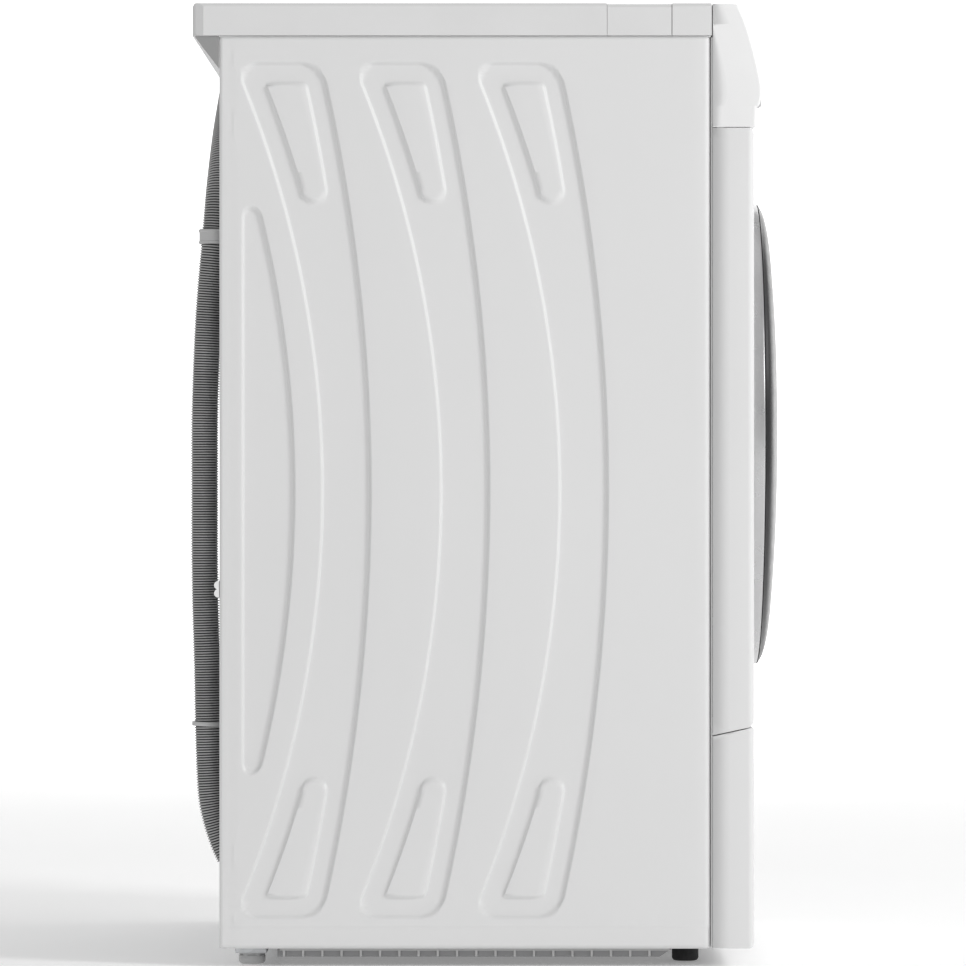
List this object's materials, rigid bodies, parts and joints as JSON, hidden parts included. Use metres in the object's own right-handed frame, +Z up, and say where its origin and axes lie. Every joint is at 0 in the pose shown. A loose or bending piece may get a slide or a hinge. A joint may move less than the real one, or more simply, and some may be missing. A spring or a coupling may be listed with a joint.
{
  "type": "clothes dryer",
  "caption": "Front-loading clothes dryer with a domed round door, bowed pressed side panels and a corrugated drain hose clipped to its back.",
  "frame": {"origin": "centre of the footprint on the floor", "axes": "-Y is the front with the door, +X is the right side, +Z is up"},
  "size_m": [0.598, 0.5309, 0.8497],
  "materials": {
    "white_enamel": "semi-gloss",
    "white_plastic": "satin",
    "silver_paint": "metallic silver paint",
    "smoked_glass": "glossy smoked",
    "clear_glass": "clear",
    "galvanised_steel": "spangled zinc",
    "stainless_steel": "brushed",
    "exchanger_fins": "finned",
    "dark_plastic": "matte",
    "grey_plastic": "satin",
    "black_rubber": "matte"
  },
  "bodies": {
    "cabinet": {"left_side_panel": "white_enamel", "right_side_panel": "white_enamel", "rear_panel": "galvanised_steel", "rear_cover": "galvanised_steel", "rear_bearing": "stainless_steel", "mains_gland": "dark_plastic", "left_rear_bracket": "grey_plastic", "right_rear_bracket": "grey_plastic", "worktop_frame": "white_plastic", "worktop_board": "white_enamel", "left_trim_insert": "white_plastic", "right_trim_insert": "white_plastic", "left_front_corner": "white_plastic", "right_front_corner": "white_plastic", "control_panel": "white_plastic", "display_lens": "smoked_glass", "front_panel": "white_enamel", "front_bulkhead": "galvanised_steel", "door_seal": "black_rubber", "lint_filter": "dark_plastic", "door_hinge_leaf": "silver_paint", "door_hinge_pin": "stainless_steel", "drive_belt": "black_rubber", "tensioner_arm": "galvanised_steel", "motor": "galvanised_steel", "compressor": "dark_plastic", "heat_exchanger": "exchanger_fins", "base_tray": "dark_plastic", "drain_hose": "grey_plastic", "hose_outlet": "dark_plastic", "hose_cuff": "grey_plastic", "left_hose_clip": "grey_plastic", "right_hose_clip": "grey_plastic", "top_hose_clip": "grey_plastic", "hose_tie": "white_plastic", "lead_clip": "white_plastic"},
    "door": {"door_rim": "silver_paint", "door_dome": "smoked_glass", "door_inner_frame": "white_plastic", "door_bowl": "clear_glass"},
    "drum": {"drum_shell": "stainless_steel", "drum_back": "stainless_steel", "drum_lifter_1": "grey_plastic", "drum_lifter_2": "grey_plastic", "drum_lifter_3": "grey_plastic"},
    "left_roller": {"left_drum_roller": "black_rubber"},
    "right_roller": {"right_drum_roller": "black_rubber"},
    "rotor": {"motor_pulley": "stainless_steel", "fan_impeller": "dark_plastic"},
    "idler": {"idler_pulley": "dark_plastic"},
    "knob": {"program_knob": "silver_paint"},
    "option_button_a": {"option_button_1": "silver_paint"},
    "option_button_b": {"option_button_2": "silver_paint"},
    "start_key": {"start_button": "silver_paint"},
    "tank": {"water_container": "white_plastic"},
    "kick_flap": {"kick_plate": "white_enamel"},
    "rear_left_foot_screw": {"rear_left_foot": "black_rubber"},
    "rear_right_foot_screw": {"rear_right_foot": "black_rubber"},
    "front_left_foot_screw": {"front_left_foot": "black_rubber"},
    "front_right_foot_screw": {"front_right_foot": "black_rubber"}
  },
  "joints": [
    {"name": "door_hinge", "type": "hinge", "parent": "cabinet", "child": "door", "pos_m": [0.222, -0.241, 0.4716], "axis": [0, 0, 1], "range_deg": [0, 150]},
    {"name": "drum_spin", "type": "hinge", "parent": "cabinet", "child": "drum", "pos_m": [0, 0, 0.4716], "axis": [0, 1, 0], "continuous": true},
    {"name": "left_roller_spin", "type": "hinge", "parent": "cabinet", "child": "left_roller", "pos_m": [-0.1826, -0.137, 0.23788], "axis": [0, 1, 0], "continuous": true},
    {"name": "right_roller_spin", "type": "hinge", "parent": "cabinet", "child": "right_roller", "pos_m": [0.1826, -0.137, 0.23788], "axis": [0, 1, 0], "continuous": true},
    {"name": "motor_spin", "type": "hinge", "parent": "cabinet", "child": "rotor", "pos_m": [0.17, 0.046, 0.115], "axis": [0, 1, 0], "continuous": true},
    {"name": "idler_spin", "type": "hinge", "parent": "cabinet", "child": "idler", "pos_m": [0.23698, 0.046, 0.25552], "axis": [0, 1, 0], "continuous": true},
    {"name": "knob_turn", "type": "hinge", "parent": "cabinet", "child": "knob", "pos_m": [0, -0.23498, 0.797], "axis": [0, -0.9705, 0.2412], "continuous": true},
    {"name": "option_press_a", "type": "slide", "parent": "cabinet", "child": "option_button_a", "axis": [0, 0.9946, -0.1039], "range_m": [0, 0.0015], "stiffness_N_per_m": 400},
    {"name": "option_press_b", "type": "slide", "parent": "cabinet", "child": "option_button_b", "axis": [0, 0.9946, -0.1039], "range_m": [0, 0.0015], "stiffness_N_per_m": 400},
    {"name": "start_press", "type": "slide", "parent": "cabinet", "child": "start_key", "axis": [0, 0.9705, -0.2412], "range_m": [0, 0.002], "stiffness_N_per_m": 400},
    {"name": "tank_slide", "type": "slide", "parent": "cabinet", "child": "tank", "axis": [0, -1, 0], "range_m": [0, 0.25]},
    {"name": "kick_flap_hinge", "type": "hinge", "parent": "cabinet", "child": "kick_flap", "pos_m": [0, -0.228, 0.022], "axis": [1, 0, 0], "range_deg": [0, 90]},
    {"name": "rear_left_foot_height", "type": "slide", "parent": "cabinet", "child": "rear_left_foot_screw", "axis": [0, 0, -1], "range_m": [0, 0.01]},
    {"name": "rear_right_foot_height", "type": "slide", "parent": "cabinet", "child": "rear_right_foot_screw", "axis": [0, 0, -1], "range_m": [0, 0.01]},
    {"name": "front_left_foot_height", "type": "slide", "parent": "cabinet", "child": "front_left_foot_screw", "axis": [0, 0, -1], "range_m": [0, 0.01]},
    {"name": "front_right_foot_height", "type": "slide", "parent": "cabinet", "child": "front_right_foot_screw", "axis": [0, 0, -1], "range_m": [0, 0.01]}
  ],
  "couplings": [
    {"joint": "left_roller_spin", "follows": "drum_spin", "ratio": -7.7059},
    {"joint": "right_roller_spin", "follows": "drum_spin", "ratio": -7.7059},
    {"joint": "motor_spin", "follows": "drum_spin", "ratio": 20.764},
    {"joint": "idler_spin", "follows": "drum_spin", "ratio": -16.594}
  ]
}
